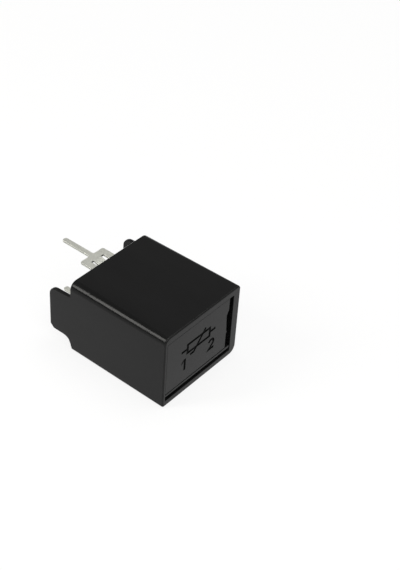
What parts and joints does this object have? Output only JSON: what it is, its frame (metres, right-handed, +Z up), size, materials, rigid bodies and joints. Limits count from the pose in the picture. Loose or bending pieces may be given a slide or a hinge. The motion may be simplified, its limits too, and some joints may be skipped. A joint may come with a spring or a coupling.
{
  "type": "thermistor",
  "caption": "Box-shaped positive-temperature-coefficient thermistor in a black moulded case with flat terminal pins and stand-off tabs.",
  "frame": {"origin": "centre of the bounding box in X and Y, at the lower broad side it lies on", "axes": "+Z up through the thickness, +Y along the pins, +X across the width"},
  "size_m": [0.017, 0.028, 0.0131],
  "materials": {
    "case": "satin black moulded plastic",
    "end_lid": "satin black moulded plastic",
    "ptc_disc": "fired ceramic with metallised faces",
    "terminal_lower": "bright tinned strip",
    "terminal_upper": "bright tinned strip"
  },
  "bodies": {
    "root": {"case": "case", "end_lid": "end_lid", "ptc_disc": "ptc_disc", "terminal_lower": "terminal_lower", "terminal_upper": "terminal_upper"}
  },
  "joints": []
}
